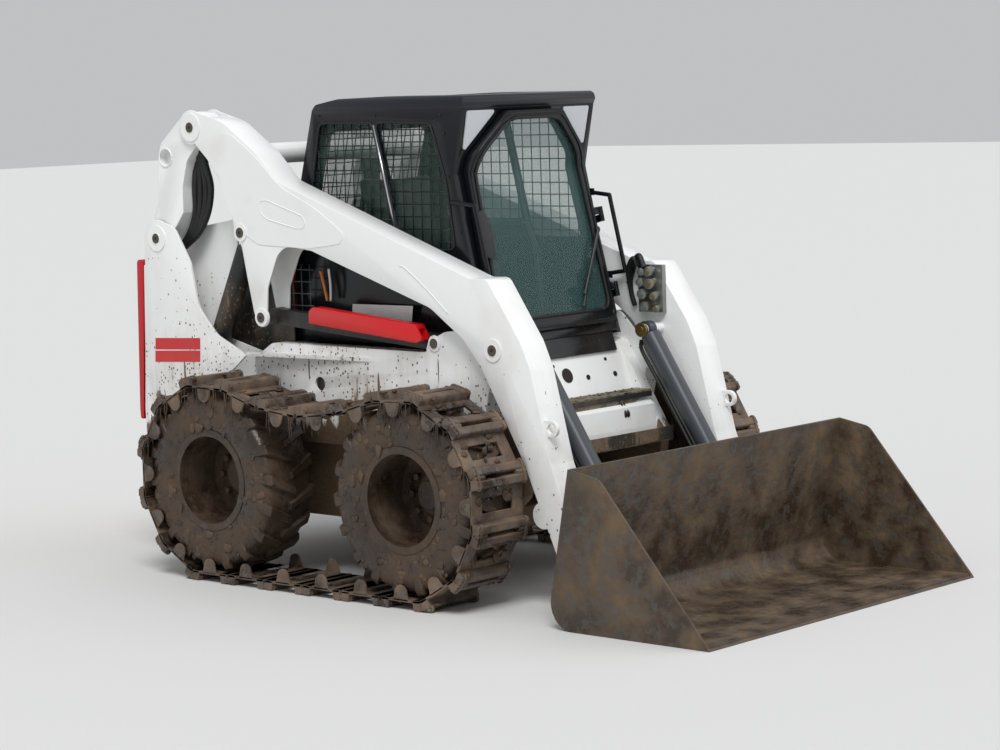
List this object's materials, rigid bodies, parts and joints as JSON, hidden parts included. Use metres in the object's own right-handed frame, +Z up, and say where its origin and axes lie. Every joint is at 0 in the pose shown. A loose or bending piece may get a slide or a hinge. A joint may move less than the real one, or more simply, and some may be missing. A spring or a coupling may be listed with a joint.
{
  "type": "skid steer loader with over-the-tyre tracks",
  "caption": "Skid steer loader with a general purpose bucket, vertical-path lift arms, a glazed cab and steel tracks laid over its rubber tyres, worn and muddy.",
  "frame": {"origin": "on the ground, under the middle of the machine's overall box, bucket included", "axes": "+X forward, towards the bucket; +Y to the machine's left; +Z up"},
  "size_m": [3.664, 1.948, 2.1714],
  "materials": {
    "white_paint": "gloss, spattered with mud low down",
    "black_paint": "satin",
    "red_paint": "gloss",
    "dark_grey_paint": "satin, muddy",
    "rim_paint": "satin under mud",
    "track_steel": "rough, caked with dark wet mud",
    "tyre": "matt, muddy",
    "chrome_rod": "polished",
    "plated_steel": "zinc plated",
    "tinted_glass": "clear, slightly green",
    "lamp_lens": "clear, ribbed",
    "red_lens": "gloss",
    "seat_vinyl": "satin vinyl",
    "black_plastic": "matt"
  },
  "bodies": {
    "machine": {"track_left": "track_steel", "track_right": "track_steel", "tyre_front_left": "tyre", "tyre_front_right": "tyre", "tyre_rear_left": "tyre", "tyre_rear_right": "tyre", "rim_front_left": "rim_paint", "rim_front_right": "rim_paint", "rim_rear_left": "rim_paint", "rim_rear_right": "rim_paint", "axles": "black_paint", "main_frame": "black_paint", "chain_cases": "white_paint", "upright_left": "white_paint", "upright_right": "white_paint", "front_panel": "white_paint", "steps": "black_paint", "engine_block": "black_paint", "engine_covers": "black_paint", "cab_shell": "black_paint", "cab_roof": "black_paint", "side_glass": "tinted_glass", "rear_glass": "tinted_glass", "skylight": "tinted_glass", "work_lamps": "lamp_lens", "grab_handles": "black_paint", "seat_base": "black_paint", "seat_cushion": "seat_vinyl", "seat_back": "seat_vinyl", "steering_levers": "black_plastic"},
    "control_links": {"control_link_left": "black_paint", "control_link_right": "black_paint", "lift_stop": "red_paint"},
    "lift_arms": {"lift_arm_left": "white_paint", "lift_arm_right": "white_paint", "tie_down_lugs": "white_paint", "rear_cross_tube": "white_paint", "front_cross_tube": "white_paint", "coupler_block": "plated_steel"},
    "rear_links": {"rear_link_left": "white_paint", "rear_link_right": "white_paint"},
    "lift_barrels": {"lift_barrel_left": "dark_grey_paint", "lift_barrel_right": "dark_grey_paint"},
    "lift_rods": {"lift_rod_left": "chrome_rod", "lift_rod_right": "chrome_rod"},
    "attachment": {"quick_attach": "black_paint", "bucket": "white_paint"},
    "tilt_barrels": {"tilt_barrel_left": "dark_grey_paint", "tilt_barrel_right": "dark_grey_paint"},
    "tilt_rods": {"tilt_rod_left": "chrome_rod", "tilt_rod_right": "chrome_rod"},
    "door": {"door_frame": "black_paint", "door_glass": "tinted_glass", "door_latch": "black_plastic", "wiper": "black_plastic"},
    "tailgate": {"tailgate": "red_paint", "tail_lamps": "red_lens"},
    "hood": {"hood": "black_paint"}
  },
  "joints": [
    {"name": "lift", "type": "hinge", "parent": "machine", "child": "control_links", "pos_m": [0.078, 0, 1.0984], "axis": [0, 1, 0], "range_deg": [0, 59.71]},
    {"name": "arm_hinge", "type": "hinge", "parent": "control_links", "child": "lift_arms", "pos_m": [-0.949, 0, 1.1824], "axis": [0, -1, 0], "range_deg": [0, 123.12]},
    {"name": "link_hinge", "type": "hinge", "parent": "lift_arms", "child": "rear_links", "pos_m": [-1.382, 0, 2.0544], "axis": [0, 1, 0], "range_deg": [0, 68.03]},
    {"name": "lift_barrel_hinge", "type": "hinge", "parent": "machine", "child": "lift_barrels", "pos_m": [-1.481, 0, 0.7354], "axis": [0, 1, 0], "range_deg": [0, 1.38]},
    {"name": "lift_rod_slide", "type": "slide", "parent": "lift_barrels", "child": "lift_rods", "axis": [0.4438, 0, 0.8961], "range_m": [0, 0.60479]},
    {"name": "tilt", "type": "hinge", "parent": "lift_arms", "child": "attachment", "pos_m": [0.879, 0, 0.2204], "axis": [0, 1, 0], "range_deg": [-25, 103]},
    {"name": "tilt_barrel_hinge", "type": "hinge", "parent": "lift_arms", "child": "tilt_barrels", "pos_m": [0.473, 0, 1.0894], "axis": [0, 1, 0], "range_deg": [-1.14, 4.53]},
    {"name": "tilt_rod_slide", "type": "slide", "parent": "tilt_barrels", "child": "tilt_rods", "axis": [0.5421, 0, -0.8403], "range_m": [-0.05598, 0.22286]},
    {"name": "cab_door", "type": "hinge", "parent": "machine", "child": "door", "pos_m": [0.287, 0.432, 1.1954], "axis": [-0.2233, 0, 0.9748], "range_deg": [0, 70]},
    {"name": "tailgate_hinge", "type": "hinge", "parent": "machine", "child": "tailgate", "pos_m": [-1.817, 0.645, 0.6654], "axis": [-0.0624, 0, -0.9981], "range_deg": [0, 95]},
    {"name": "hood_hinge", "type": "hinge", "parent": "machine", "child": "hood", "pos_m": [-0.934, 0, 1.5154], "axis": [0, 1, 0], "range_deg": [0, 50]}
  ],
  "couplings": [
    {"joint": "arm_hinge", "follows": "lift", "ratio": 2.0617},
    {"joint": "link_hinge", "follows": "lift", "ratio": 1.1391},
    {"joint": "lift_barrel_hinge", "follows": "lift", "ratio": 0.02311},
    {"joint": "lift_rod_slide", "follows": "lift", "m_per_rad": 0.5802},
    {"joint": "tilt_barrel_hinge", "follows": "tilt", "ratio": 0.043757},
    {"joint": "tilt_rod_slide", "follows": "tilt", "m_per_rad": 0.12337}
  ]
}
